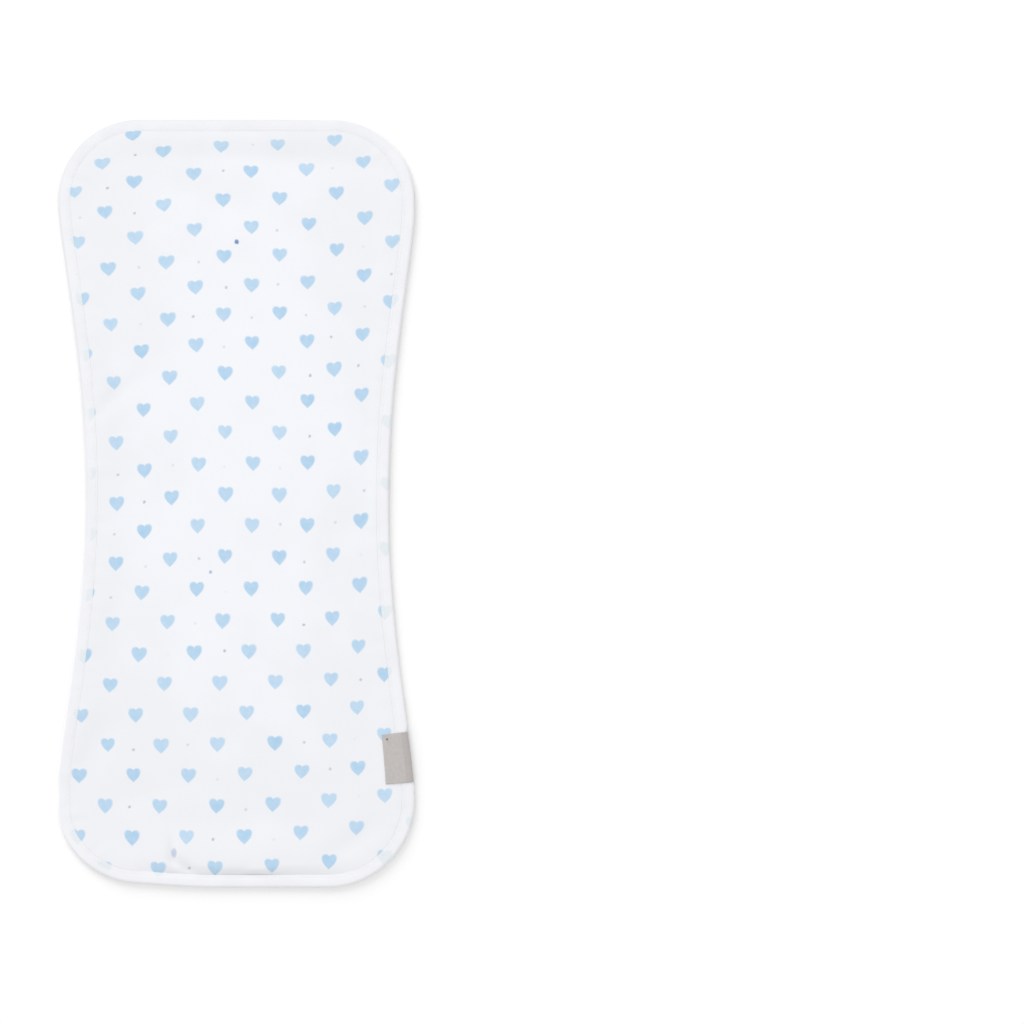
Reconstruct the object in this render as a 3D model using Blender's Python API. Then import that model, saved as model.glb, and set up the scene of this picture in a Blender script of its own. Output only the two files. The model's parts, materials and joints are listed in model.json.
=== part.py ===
"""Peanut-shaped burp cloth, lying flat: a printed pad, a tape folded round its edge, and a small woven label.

Metres. +X is to the right and +Y towards the top edge, as it is seen from above; +Z is up.
The origin is under the middle of the cloth, on the surface that it lies on.
"Inset" is the distance inside the outline, and "level" is a height in the section, before the edge is raised.
"""

import bpy
import bmesh
import numpy as np

# Outline, seen from above
WIDTH = 0.246
LENGTH = 0.530
CORNER_RADIUS = {"bottom right": 0.060, "top right": 0.056, "top left": 0.056, "bottom left": 0.053}
WAIST_DEPTH = {"right": 0.0177, "left": 0.0190}
WAIST_MIDDLE = {"right": 0.001, "left": 0.004}
WAIST_HALF_LENGTH = 0.197
WAIST_POWER = 1.35

# Section through the edge: a tape folded round the pad and stitched down
TAPE = 0.0008
GAP = 0.0003
BINDING_WIDTH = 0.0085
EDGE_HEIGHT = 0.0034
EDGE_MIDDLE = EDGE_HEIGHT / 2.0
STITCH_DIP = 0.0003
DIP_START = 0.0050

# The pad, held by the tape at its rim and puffed up inside it
RIM_CLEARANCE = GAP + 0.0001
SEAM = BINDING_WIDTH + GAP
PAD_HEIGHT = 0.0031
PUFF_WIDTH = 0.0100
UNDERSIDE_WIDTH = 0.0045
FIELD_INSET = 0.028

# Soft troughs (negative height) and ridges (positive) in the pad's top; the angle that each runs at is in radians
CREASE_COLUMNS = ("name", "x", "y", "long", "wide", "angle", "height")
CREASES = [
    ("bottom seam", -0.010, -0.248, 0.060, 0.007, 0.00, -0.0006),
    ("bottom right", 0.078, -0.235, 0.030, 0.008, 0.55, -0.0005),
    ("right seam", 0.092, 0.035, 0.075, 0.006, 1.57, -0.0005),
    ("left waist", -0.086, 0.072, 0.022, 0.006, 0.65, -0.0005),
    ("lower left", -0.095, -0.165, 0.030, 0.012, 0.90, -0.0005),
    ("left foot", -0.060, -0.200, 0.025, 0.010, 0.30, -0.0004),
    ("top seam", 0.040, 0.236, 0.070, 0.008, -0.05, -0.0004),
    ("middle swell", 0.035, 0.060, 0.090, 0.045, 1.20, 0.0003),
]

# Label, folded round the right edge
LABEL_THICKNESS = 0.0007
LABEL_LENGTH = 0.035
LABEL_MIDDLE_Y = -0.175
LABEL_ON_TOP = 0.0170
LABEL_UNDERNEATH = 0.0070
LABEL_DROP = 0.0003

# The free edge doesn't lie quite flat, and the label's turned end holds it up.
# Each wave has its share of the height, and its radians for each metre along y and along x
WAVE_HEIGHT = 0.0003
WAVE_COLUMNS = ("share", "per_y", "per_x")
WAVES = [(0.6, 31.0, 9.0), (-0.4, 67.0, -23.0)]
LABEL_LIFT = LABEL_THICKNESS + GAP
LIFT_FULL_REACH = 0.0217
LIFT_REACH = 0.056
LIFT_FADE_START = 0.011

# Mesh steps, and the insets of the lines that run round the pad
STEPS_LONG = 46
STEPS_SHORT = 20
ARC_SAMPLES = 60
FOLD_STEPS = 4
LABEL_STEPS = 6
UNDERSIDE_INSETS = (FIELD_INSET, 0.020, SEAM + UNDERSIDE_WIDTH, SEAM, EDGE_MIDDLE)
TOP_INSETS = (EDGE_MIDDLE, DIP_START, SEAM, 0.0113, 0.0143, SEAM + PUFF_WIDTH, 0.023, FIELD_INSET)
MERGE_DISTANCE = 0.00001


def smooth_step(value, start, end):
    """0 before start, 1 after end, and an S-curve between them."""
    share = np.clip((value - start) / (end - start), 0.0, 1.0)
    return share * share * (3.0 - 2.0 * share)


def draw_in_waist(x, y):
    """Pull points towards the middle line, in proportion to x, by the depth of their own side's waist."""
    pull = np.zeros_like(x)
    for side, sign in (("right", 1.0), ("left", -1.0)):
        along = np.clip((y - WAIST_MIDDLE[side]) / WAIST_HALF_LENGTH, -1.0, 1.0)
        depth = WAIST_DEPTH[side] * (1.0 - along * along) ** WAIST_POWER
        pull = np.where(x * sign > 0.0, depth / (WIDTH / 2.0), pull)
    return x * (1.0 - pull)


def corner_arc(corner, start, end):
    """Points of one rounded corner between two angles, in degrees."""
    radius = CORNER_RADIUS[corner]
    middle_x = (WIDTH / 2.0 - radius) * (1.0 if "right" in corner else -1.0)
    middle_y = (LENGTH / 2.0 - radius) * (1.0 if "top" in corner else -1.0)
    angle = np.radians(np.linspace(start, end, ARC_SAMPLES))
    return np.column_stack([middle_x + radius * np.cos(angle), middle_y + radius * np.sin(angle)])


def side_points(corner, next_corner, start_angle, steps):
    """One side of the outline in equal steps, from the middle of one corner to the middle of the next."""
    first = corner_arc(corner, start_angle, start_angle + 45.0)
    last = corner_arc(next_corner, start_angle + 45.0, start_angle + 90.0)
    straight = np.linspace(first[-1], last[0], 4 * ARC_SAMPLES)[1:-1]
    path = np.vstack([first, straight, last])
    path[:, 0] = draw_in_waist(path[:, 0], path[:, 1])
    travelled = np.concatenate([[0.0], np.cumsum(np.linalg.norm(np.diff(path, axis=0), axis=1))])
    wanted = np.linspace(0.0, travelled[-1], steps + 1)[:-1]
    return np.column_stack([np.interp(wanted, travelled, path[:, k]) for k in range(2)])


def outline(steps_long, steps_short):
    """The closed outline, anticlockwise from the bottom right corner, and the inward direction at each point."""
    corners = list(CORNER_RADIUS)
    sides = [side_points(corners[k], corners[(k + 1) % 4], 90.0 * k - 45.0, steps)
             for k, steps in enumerate((steps_long, steps_short, steps_long, steps_short))]
    points = np.vstack(sides)
    along = np.roll(points, -1, axis=0) - np.roll(points, 1, axis=0)
    inward = np.column_stack([-along[:, 1], along[:, 0]])
    return points, inward / np.linalg.norm(inward, axis=1)[:, None]


def edge_lift(x, y, inset):
    """How far the whole thickness is raised: low waves along the edge, and a bump over the label's turned end."""
    wave = 1.0
    for row in WAVES:
        part = dict(zip(WAVE_COLUMNS, row))
        wave = wave + part["share"] * np.sin(part["per_y"] * y + part["per_x"] * x)
    over_label = 1.0 - smooth_step(np.abs(y - LABEL_MIDDLE_Y), LIFT_FULL_REACH, LIFT_REACH)
    over_label = over_label * smooth_step(x, WIDTH / 6.0, WIDTH / 4.0)
    raised = WAVE_HEIGHT * wave * (1.0 - over_label) + LABEL_LIFT * over_label
    return raised * (1.0 - smooth_step(inset, LIFT_FADE_START, FIELD_INSET))


def crease_height(x, y):
    """Sum of the troughs and ridges, each a bell-shaped bump, longer one way than the other."""
    height = np.zeros_like(x)
    for row in CREASES:
        crease = dict(zip(CREASE_COLUMNS, row))
        off_x = x - crease["x"]
        off_y = y - crease["y"]
        along = off_x * np.cos(crease["angle"]) + off_y * np.sin(crease["angle"])
        across = off_y * np.cos(crease["angle"]) - off_x * np.sin(crease["angle"])
        height += crease["height"] * np.exp(-(along / crease["long"]) ** 2 - (across / crease["wide"]) ** 2)
    return height


def pad_top(x, y, inset):
    """Height of the pad's upper side: low under the tape and at the stitches, then puffed up and creased."""
    held = EDGE_HEIGHT - TAPE - GAP - STITCH_DIP * smooth_step(inset, DIP_START - GAP, BINDING_WIDTH)
    puff = smooth_step(inset, SEAM, SEAM + PUFF_WIDTH)
    free = PAD_HEIGHT + crease_height(x, y)
    return held + (free - held) * puff + edge_lift(x, y, inset)


def pad_underside(x, y, inset):
    """Height of the pad's lower side: above the tape at the rim, then down on the surface it lies on."""
    down = smooth_step(inset, SEAM, SEAM + UNDERSIDE_WIDTH)
    return (TAPE + GAP) * (1.0 - down) + edge_lift(x, y, inset)


def at_level(level):
    """Height function of a line that keeps its level in the section."""
    return lambda x, y, inset: level + edge_lift(x, y, inset)


def line_along(edge, inward, inset, height):
    """Points at one inset along an edge, with the heights that a function gives them."""
    flat = edge + inward * inset
    z = height(flat[:, 0], flat[:, 1], np.full(len(flat), max(inset, 0.0)))
    return np.column_stack([flat, z])


def carry_section(section, edge, inward, joined):
    """Carry a closed section of (inset, level) pairs along an edge, which joins up or is capped at its ends."""
    count = len(edge)
    points = np.vstack([line_along(edge, inward, inset, at_level(level)) for inset, level in section])
    faces = []
    for k in range(len(section)):
        after = (k + 1) % len(section)
        for i in range(count if joined else count - 1):
            j = (i + 1) % count
            faces.append((k * count + i, k * count + j, after * count + j, after * count + i))
    if not joined:
        for i in (0, count - 1):
            faces.append([k * count + i for k in range(len(section))])
    return points, faces


def folded_layer(radius, on_top, underneath, top_drop, bend_inset, steps):
    """One face of something folded round the edge: along the top, round the fold, and back underneath."""
    turn = np.linspace(np.pi / 2.0, -np.pi / 2.0, steps + 1)
    fold = [(EDGE_MIDDLE - radius * np.cos(a), EDGE_MIDDLE + radius * np.sin(a)) for a in turn]
    top = [(on_top, EDGE_MIDDLE + radius - top_drop), (bend_inset, EDGE_MIDDLE + radius)]
    return top + fold + [(underneath, EDGE_MIDDLE - radius)]


def make_object(name, points, faces, colour, roughness):
    """A closed mesh with its faces outwards and its own cloth material."""
    mesh = bpy.data.meshes.new(name)
    mesh.from_pydata(points.tolist(), [], faces)
    shape = bmesh.new()
    shape.from_mesh(mesh)
    bmesh.ops.remove_doubles(shape, verts=shape.verts, dist=MERGE_DISTANCE)
    bmesh.ops.recalc_face_normals(shape, faces=shape.faces)
    shape.to_mesh(mesh)
    shape.free()
    mesh.shade_smooth()
    material = bpy.data.materials.new(name)
    material.use_nodes = True
    shader = material.node_tree.nodes["Principled BSDF"]
    shader.inputs["Base Color"].default_value = (*colour, 1.0)
    shader.inputs["Roughness"].default_value = roughness
    shader.inputs["Metallic"].default_value = 0.0
    mesh.materials.append(material)
    bpy.context.scene.collection.objects.link(bpy.data.objects.new(name, mesh))


def field_grid(border):
    """Grid of plan points over the pad's field, blended between the four sides of its border."""
    corner = np.cumsum([0, STEPS_LONG, STEPS_SHORT, STEPS_LONG, STEPS_SHORT])
    closed = np.vstack([border, border[:1]])
    right, top, left, bottom = (closed[corner[k]:corner[k + 1] + 1] for k in range(4))
    left, bottom = left[::-1], bottom[::-1]
    up = np.linspace(0.0, 1.0, STEPS_LONG + 1)[:, None, None]
    across = np.linspace(0.0, 1.0, STEPS_SHORT + 1)[None, :, None]
    between_sides = right[:, None] * (1.0 - across) + left[:, None] * across
    between_ends = bottom[None, :] * (1.0 - up) + top[None, :] * up
    low = right[0] * (1.0 - across) + left[0] * across
    high = right[-1] * (1.0 - across) + left[-1] * across
    return between_sides + between_ends - low * (1.0 - up) - high * up


def make_cloth(edge, inward):
    """The pad: from the flat of its underside, round its rim, and up over the puffed and creased top."""
    rim = EDGE_MIDDLE - TAPE - RIM_CLEARANCE
    path = [(inset, pad_underside) for inset in UNDERSIDE_INSETS]
    path.append((EDGE_MIDDLE - rim, at_level(EDGE_MIDDLE)))
    path += [(inset, pad_top) for inset in TOP_INSETS]
    lines = [line_along(edge, inward, inset, height) for inset, height in path]
    count = len(edge)
    faces = [list(range(count))]
    for k in range(len(lines) - 1):
        for i in range(count):
            j = (i + 1) % count
            faces.append((k * count + i, k * count + j, (k + 1) * count + j, (k + 1) * count + i))
    grid = field_grid(lines[-1][:, :2])
    z = pad_top(grid[..., 0], grid[..., 1], np.full(grid.shape[:2], FIELD_INSET))
    start = len(lines) * count
    across = STEPS_SHORT + 1
    for i in range(STEPS_LONG):
        for j in range(STEPS_SHORT):
            first = start + i * across + j
            faces.append((first, first + across, first + across + 1, first + 1))
    points = np.vstack(lines + [np.dstack([grid, z]).reshape(-1, 3)])
    make_object("cloth", points, faces, (0.90, 0.91, 0.94), 0.85)


def make_binding(edge, inward):
    """The tape folded round the pad's rim, joined all the way round the outline."""
    faces_of_tape = [folded_layer(radius, BINDING_WIDTH, BINDING_WIDTH, STITCH_DIP, DIP_START, FOLD_STEPS)
                     for radius in (EDGE_MIDDLE, EDGE_MIDDLE - TAPE)]
    section = faces_of_tape[0] + faces_of_tape[1][::-1]
    points, faces = carry_section(section, edge, inward, joined=True)
    make_object("binding", points, faces, (0.93, 0.93, 0.95), 0.80)


def make_label():
    """A woven ribbon folded round the right edge, over the binding, with a short end turned underneath."""
    side = slice(0, 12 * STEPS_LONG)
    fine_edge, fine_inward = (values[side] for values in outline(12 * STEPS_LONG, STEPS_SHORT))
    travelled = np.concatenate([[0.0], np.cumsum(np.linalg.norm(np.diff(fine_edge, axis=0), axis=1))])
    middle = np.interp(LABEL_MIDDLE_Y, fine_edge[:, 1], travelled)
    wanted = middle + LABEL_LENGTH * np.linspace(-0.5, 0.5, LABEL_STEPS + 1)
    edge, inward = (np.column_stack([np.interp(wanted, travelled, values[:, k]) for k in range(2)])
                    for values in (fine_edge, fine_inward))
    inner = EDGE_MIDDLE + GAP
    faces_of_label = [folded_layer(radius, LABEL_ON_TOP, LABEL_UNDERNEATH, LABEL_DROP, SEAM, FOLD_STEPS + 2)
                      for radius in (inner, inner + LABEL_THICKNESS)]
    section = faces_of_label[0] + faces_of_label[1][::-1]
    points, faces = carry_section(section, edge, inward, joined=False)
    make_object("label", points, faces, (0.52, 0.50, 0.47), 0.70)


def main():
    for thing in list(bpy.data.objects):
        bpy.data.objects.remove(thing, do_unlink=True)
    edge, inward = outline(STEPS_LONG, STEPS_SHORT)
    make_cloth(edge, inward)
    make_binding(edge, inward)
    make_label()


main()
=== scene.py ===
# %% [markdown]
# A burp cloth laid out flat. A soft pad of printed cotton is cut in a peanut shape, so that its narrow
# middle sits on a shoulder. A white tape is folded round the raw edge and sewn down, and a small woven
# label is folded round the right edge over the sewing and tacked by hand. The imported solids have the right
# sizes, but their faces are too coarse to show cloth. So every cell below takes its sizes from the frame
# and from the named values of the pattern, and makes a finer surface in the same place.

# %% Load the frame and keep its box
import json

import bpy
import numpy as np
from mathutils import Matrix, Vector

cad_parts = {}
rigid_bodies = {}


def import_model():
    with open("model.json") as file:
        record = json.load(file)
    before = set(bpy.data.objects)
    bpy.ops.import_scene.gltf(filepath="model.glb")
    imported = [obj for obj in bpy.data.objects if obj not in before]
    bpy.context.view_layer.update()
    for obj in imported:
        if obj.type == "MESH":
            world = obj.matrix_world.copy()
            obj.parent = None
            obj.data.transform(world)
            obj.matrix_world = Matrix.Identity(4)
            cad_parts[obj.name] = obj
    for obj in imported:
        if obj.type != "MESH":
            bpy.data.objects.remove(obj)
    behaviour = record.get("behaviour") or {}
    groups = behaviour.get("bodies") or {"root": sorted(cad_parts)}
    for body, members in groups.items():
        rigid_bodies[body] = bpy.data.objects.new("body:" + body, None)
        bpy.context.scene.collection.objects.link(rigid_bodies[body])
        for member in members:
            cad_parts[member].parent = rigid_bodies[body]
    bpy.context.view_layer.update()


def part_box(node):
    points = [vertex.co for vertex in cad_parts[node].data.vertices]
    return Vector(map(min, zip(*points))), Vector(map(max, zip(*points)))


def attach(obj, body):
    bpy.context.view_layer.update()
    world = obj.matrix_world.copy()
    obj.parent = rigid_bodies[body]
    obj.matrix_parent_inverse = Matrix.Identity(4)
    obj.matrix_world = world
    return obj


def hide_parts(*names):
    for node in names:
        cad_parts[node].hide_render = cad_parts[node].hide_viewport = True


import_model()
tape_low, tape_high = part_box("binding")
WIDTH = tape_high[0] - tape_low[0]
LENGTH = tape_high[1] - tape_low[1]
MM = 0.001
print("cloth from edge to edge, mm:", round(WIDTH / MM, 1), "x", round(LENGTH / MM, 1))

# %% [markdown]
# The outline is what a pattern cutter would draw: a rectangle with rounded corners, whose long sides are
# drawn in at the waist. The lower left corner has been pulled up a little in use. It could be traced as a
# curve with handles, but a formula with a few named sizes is easier to check and change. Points are spread
# evenly along each side, so that later surfaces get even faces.

# %% Outline of the peanut shape
CORNER_RADIUS = {
    "bottom right": 60.0 * MM,
    "top right": 56.0 * MM,
    "top left": 56.0 * MM,
    "bottom left": 53.0 * MM,
}
WAIST_DEPTH = {"right": 17.7 * MM, "left": 19.0 * MM}
WAIST_MIDDLE = {"right": 1.0 * MM, "left": 8.0 * MM}
WAIST_HALF_LENGTH = 197.0 * MM
WAIST_POWER = 1.35
LABEL_MIDDLE_Y = -175.0 * MM
LABEL_LENGTH = 35.0 * MM
NIP_DEPTH = 0.9 * MM
NIP_REACH = (0.5 * LABEL_LENGTH, 0.62 * LABEL_LENGTH)
CORNER_LIFT = 4.5 * MM
LIFT_ACROSS = (15.0 * MM, 105.0 * MM)
LIFT_DOWN = (190.0 * MM, 250.0 * MM)
ARC_SAMPLES = 120


def smooth_step(value, start, end):
    """0 before start, 1 after end, and between them 3 s squared minus 2 s cubed, where s is the share of
    the way."""
    share = np.clip((value - start) / (end - start), 0.0, 1.0)
    return share * share * (3.0 - 2.0 * share)


def distances(path):
    """How far each point of a line lies along it."""
    return np.concatenate([[0.0], np.cumsum(np.linalg.norm(np.diff(path, axis=0), axis=1))])


def closed(path):
    """A line with its first point again at the end."""
    return np.vstack([path, path[:1]])


def between(wanted, along, values):
    """Rows of values, read at the wanted distances along a line."""
    return np.stack([np.interp(wanted, along, column) for column in values.T], axis=-1)


def waist_pull(x, y):
    """Share of x by which a point is drawn in: its side's depth, times (1 minus height squared) to a
    power."""
    pull = np.zeros_like(x)
    for side, sign in (("right", 1.0), ("left", -1.0)):
        along = np.clip((y - WAIST_MIDDLE[side]) / WAIST_HALF_LENGTH, -1.0, 1.0)
        depth = WAIST_DEPTH[side] * (1.0 - along * along) ** WAIST_POWER
        pull = np.where(x * sign > 0.0, depth / (WIDTH / 2.0), pull)
    return pull


def corner_lift(x, y):
    """How far the lower left corner is drawn up towards the waist, fading along the lower edge and up the
    side."""
    return CORNER_LIFT * smooth_step(-x, *LIFT_ACROSS) * smooth_step(-y, *LIFT_DOWN)


def corner_arc(corner, start, end):
    """Points of one rounded corner between two angles, in degrees."""
    radius = CORNER_RADIUS[corner]
    middle_x = (WIDTH / 2.0 - radius) * (1.0 if "right" in corner else -1.0)
    middle_y = (LENGTH / 2.0 - radius) * (1.0 if "top" in corner else -1.0)
    angle = np.radians(np.linspace(start, end, ARC_SAMPLES))
    return np.column_stack([middle_x + radius * np.cos(angle), middle_y + radius * np.sin(angle)])


def side_points(corner, next_corner, start_angle, steps):
    """One side in equal steps, from the middle of one corner to the middle of the next: arc, straight, arc,
    waist."""
    first = corner_arc(corner, start_angle, start_angle + 45.0)
    last = corner_arc(next_corner, start_angle + 45.0, start_angle + 90.0)
    straight = np.linspace(first[-1], last[0], 6 * ARC_SAMPLES)[1:-1]
    path = np.vstack([first, straight, last])
    path[:, 0] *= 1.0 - waist_pull(path[:, 0], path[:, 1])
    path[:, 1] += corner_lift(path[:, 0], path[:, 1])
    travelled = distances(path)
    wanted = np.linspace(0.0, travelled[-1], steps + 1)[:-1]
    return between(wanted, travelled, path)


def label_nip(x, y):
    """How far the label's tight fold draws the edge in: all of it along the label, fading just past its
    ends."""
    return NIP_DEPTH * (1.0 - smooth_step(np.abs(y - LABEL_MIDDLE_Y), *NIP_REACH)) * (x > 0.0)


def outline(steps_long, steps_short):
    """The closed outline, anticlockwise from the bottom right corner. Returns its points, the inward
    direction at each, and how far along the edge each lies."""
    corners = list(CORNER_RADIUS)
    sides = [side_points(corners[k], corners[(k + 1) % 4], 90.0 * k - 45.0, steps)
             for k, steps in enumerate((steps_long, steps_short, steps_long, steps_short))]
    points = np.vstack(sides)
    along = np.roll(points, -1, axis=0) - np.roll(points, 1, axis=0)
    inward = np.column_stack([-along[:, 1], along[:, 0]])
    inward /= np.linalg.norm(inward, axis=1)[:, None]
    points = points + inward * label_nip(points[:, 0], points[:, 1])[:, None]
    return points, inward, distances(points)


PAD_STEPS = (245, 115)
pad_edge, pad_inward, pad_along = outline(*PAD_STEPS)
EDGE_LENGTH = pad_along[-1] + np.linalg.norm(pad_edge[0] - pad_edge[-1])
print("edge all the way round, mm:", round(EDGE_LENGTH / MM))

# %% [markdown]
# Section through the edge. The tape holds the pad's rim tight, and the pad lies almost level with the tape.
# Only at the foot has it slid down, so that it puffs up against the seam and presses it down. The heights
# are written as functions of the inset, which is the distance inside the outline, so the pad, the tape, the
# stitches and the label all read the same edge and can't drift apart.

# %% Heights that every piece shares
TAPE = 0.8 * MM
GAP = 0.3 * MM
BINDING_WIDTH = 8.5 * MM
EDGE_HEIGHT = 3.4 * MM
EDGE_MIDDLE = EDGE_HEIGHT / 2.0
STITCH_DIP = 0.05 * MM
DIP_START = 5.0 * MM
SEAM = BINDING_WIDTH + GAP
FIELD_INSET = 28.0 * MM
LABEL_THICKNESS = 0.45 * MM
LABEL_GAP = 0.12 * MM
WAVE_HEIGHT = 0.3 * MM
WAVES = [  # share of the height, radians per metre along y and along x
    (0.6, 31.0, 9.0),
    (-0.4, 67.0, -23.0),
]
LABEL_LIFT = LABEL_THICKNESS + LABEL_GAP
LIFT_FULL_REACH = 21.7 * MM
LIFT_REACH = 56.0 * MM
LIFT_FADE_START = 11.0 * MM
LIFT_ACROSS_CLOTH = (WIDTH / 6.0, WIDTH / 4.0)


def edge_lift(x, y, inset):
    """How far the whole thickness is raised: low waves along the edge, and a bump over the label's turned
    end."""
    wave = 1.0
    for share, per_y, per_x in WAVES:
        wave = wave + share * np.sin(per_y * y + per_x * x)
    over_label = 1.0 - smooth_step(np.abs(y - LABEL_MIDDLE_Y), LIFT_FULL_REACH, LIFT_REACH)
    over_label = over_label * smooth_step(x, *LIFT_ACROSS_CLOTH)
    raised = WAVE_HEIGHT * wave * (1.0 - over_label) + LABEL_LIFT * over_label
    return raised * (1.0 - smooth_step(inset, LIFT_FADE_START, FIELD_INSET))


# %% [markdown]
# Sewing draws a soft edge in, so small puckers stand along the seam. They could be sculpted, but a sum of a
# few sine waves, each with a whole number of turns round the outline, closes on itself and never looks
# copied. They fade under the label, which holds the edge stiff, and they fade inwards where the pad is free
# to spread.

# %% Puckers along the sewn edge
PUCKER_HEIGHT = 0.10 * MM
PUCKERS = [  # share of the height, turns round the outline, start in radians
    (0.45, 61, 0.3),
    (0.35, 97, 1.9),
    (0.20, 139, 4.1),
    (0.30, 23, 2.2),
]
PUCKER_FREE = (LABEL_LENGTH * 0.55, LABEL_LENGTH * 0.9)
PUCKER_START = 1.5 * MM
PUCKER_FADE = (11.0 * MM, 24.0 * MM)
label_along = np.interp(LABEL_MIDDLE_Y, pad_edge[:PAD_STEPS[0], 1], pad_along[:PAD_STEPS[0]])


def pucker(along, inset):
    """Sum of sine waves round the edge, under an envelope that rises at the fold and fades into the pad."""
    turn = 2.0 * np.pi * along / EDGE_LENGTH
    wave = sum(share * np.sin(turns * turn + start) for share, turns, start in PUCKERS)
    free = smooth_step(np.abs(along - label_along), *PUCKER_FREE)
    envelope = smooth_step(inset, PUCKER_START, SEAM) * (1.0 - smooth_step(inset, *PUCKER_FADE))
    return PUCKER_HEIGHT * wave * free * envelope


# %% [markdown]
# The pad's top isn't level either. A few long, shallow troughs and swells are listed one by one where the
# cloth shows them, each a bell shape that is longer one way than the other. Broad ripples under them keep
# the light from lying evenly, as it never does on cotton.

# %% Creases and ripples of the pad's top
PAD_HEIGHT = 3.3 * MM
PUFF_WIDTH = 11.0 * MM
PUFF_POWER = 1.7
FOOT_HEIGHT = 1.1 * MM
FOOT_DROP = 0.8 * MM
SEAM_DIP = 0.35 * MM
FOOT_NARROWING = 0.50
FOOT_WAVE = (0.22, 105.0, 0.6)
FOOT_MIDDLE = 4.0 * MM
FOOT_HALF_LENGTH = 62.0 * MM
FOOT_REACH = (215.0 * MM, 245.0 * MM)
SEAM_RISE = 0.86 * MM
SEAM_LIP = 0.16 * MM
LIP_WIDTH = 0.10 * MM
UNDERSIDE_WIDTH = 4.5 * MM
CREASES = [  # name, x, y, half length, half width, all in mm, angle in radians, height in mm
    ("foot dent", -44, -241, 2.5, 9, 0.15, -1.1),
    ("foot corner", -38, -250, 9, 4, -0.55, -1.3),
    ("seam dent", -33, -255, 6, 4, 0.00, -0.8),
    ("middle seam dent", 2, -255, 8, 4, 0.00, -0.8),
    ("bottom right", 78, -235, 30, 8, 0.55, -0.5),
    ("right seam", 92, 35, 75, 6, 1.57, -0.5),
    ("left waist", -86, 72, 22, 6, 0.65, -0.5),
    ("lower left", -95, -165, 30, 12, 0.90, -0.5),
    ("left foot", -60, -200, 25, 10, 0.30, -0.4),
    ("top seam", 40, 236, 70, 8, -0.05, -0.4),
    ("middle swell", 35, 60, 90, 45, 1.20, 0.3),
]
RIPPLES = [  # height in mm, waves per metre along x and along y, start in radians
    (0.080, 9.0, 3.0, 0.4),
    (0.060, -6.0, 11.0, 2.1),
    (0.038, 21.0, -8.0, 5.0),
    (0.030, 13.0, 27.0, 1.2),
]


def crease_height(x, y):
    """Sum of bell shapes: height times e to the minus (along / half length) squared minus (across / half
    width) squared."""
    height = np.zeros_like(x)
    for _, middle_x, middle_y, long, wide, angle, rise in CREASES:
        off_x = x - middle_x * MM
        off_y = y - middle_y * MM
        along = off_x * np.cos(angle) + off_y * np.sin(angle)
        across = off_y * np.cos(angle) - off_x * np.sin(angle)
        height += rise * MM * np.exp(-(along / (long * MM)) ** 2 - (across / (wide * MM)) ** 2)
    return height


def ripple_height(x, y):
    """Sum of straight sine waves, each with its own direction."""
    return sum(rise * MM * np.sin(2.0 * np.pi * (per_x * x + per_y * y) + start)
               for rise, per_x, per_y, start in RIPPLES)


def foot_swell(x, y):
    """Where the pad has slid down and fills out against the lower tape: about 1 there, with a low wave
    along it, fading to both sides and upwards."""
    share, per_x, start = FOOT_WAVE
    wave = 1.0 + share * np.sin(per_x * x + start)
    sideways = np.exp(-((x - FOOT_MIDDLE) / FOOT_HALF_LENGTH) ** 4)
    return wave * sideways * smooth_step(-y, *FOOT_REACH)


def seam_dip(x, y, inset):
    """How far the lower seam is pressed down where the pad fills out against it, growing from the fold
    inwards."""
    return SEAM_DIP * foot_swell(x, y) * smooth_step(inset, DIP_START, BINDING_WIDTH)


def pad_top(x, y, inset):
    """Held under the tape, level with it at the seam, then free, creased and rippled. The puff is 1 minus
    (1 - share of the way in) to a power, so that it leaves the seam steeply and flattens out, most steeply
    at the foot."""
    held = EDGE_HEIGHT - TAPE - GAP - STITCH_DIP * smooth_step(inset, DIP_START - GAP, BINDING_WIDTH)
    held = held + SEAM_RISE * smooth_step(inset, DIP_START, BINDING_WIDTH)
    foot = foot_swell(x, y)
    held = held + (SEAM_LIP - FOOT_DROP * foot) * smooth_step(inset, BINDING_WIDTH, BINDING_WIDTH + LIP_WIDTH)
    puff_width = PUFF_WIDTH * (1.0 - FOOT_NARROWING * foot)
    puff = 1.0 - (1.0 - np.clip((inset - BINDING_WIDTH) / puff_width, 0.0, 1.0)) ** PUFF_POWER
    free = PAD_HEIGHT + FOOT_HEIGHT * foot + crease_height(x, y) + ripple_height(x, y)
    return held + (free - held) * puff + edge_lift(x, y, inset) - seam_dip(x, y, inset) * (1.0 - puff)


def pad_underside(x, y, inset):
    """Above the tape at the rim, then down on the surface it lies on."""
    down = smooth_step(inset, SEAM, SEAM + UNDERSIDE_WIDTH)
    return (TAPE + GAP) * (1.0 - down) + edge_lift(x, y, inset)


# %% [markdown]
# The print is a half-drop repeat: hearts in rows, with a second set of rows half a step across and half a
# step up. On soft cotton the repeat never stays square. It leans more towards the top, closes in a little
# at the waist and drifts sideways near the bottom, because the piece was cut slightly off the grain. So
# each point of the cloth is given its place in the repeat, and that place is kept as a map on the mesh for
# the material to read.

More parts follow.
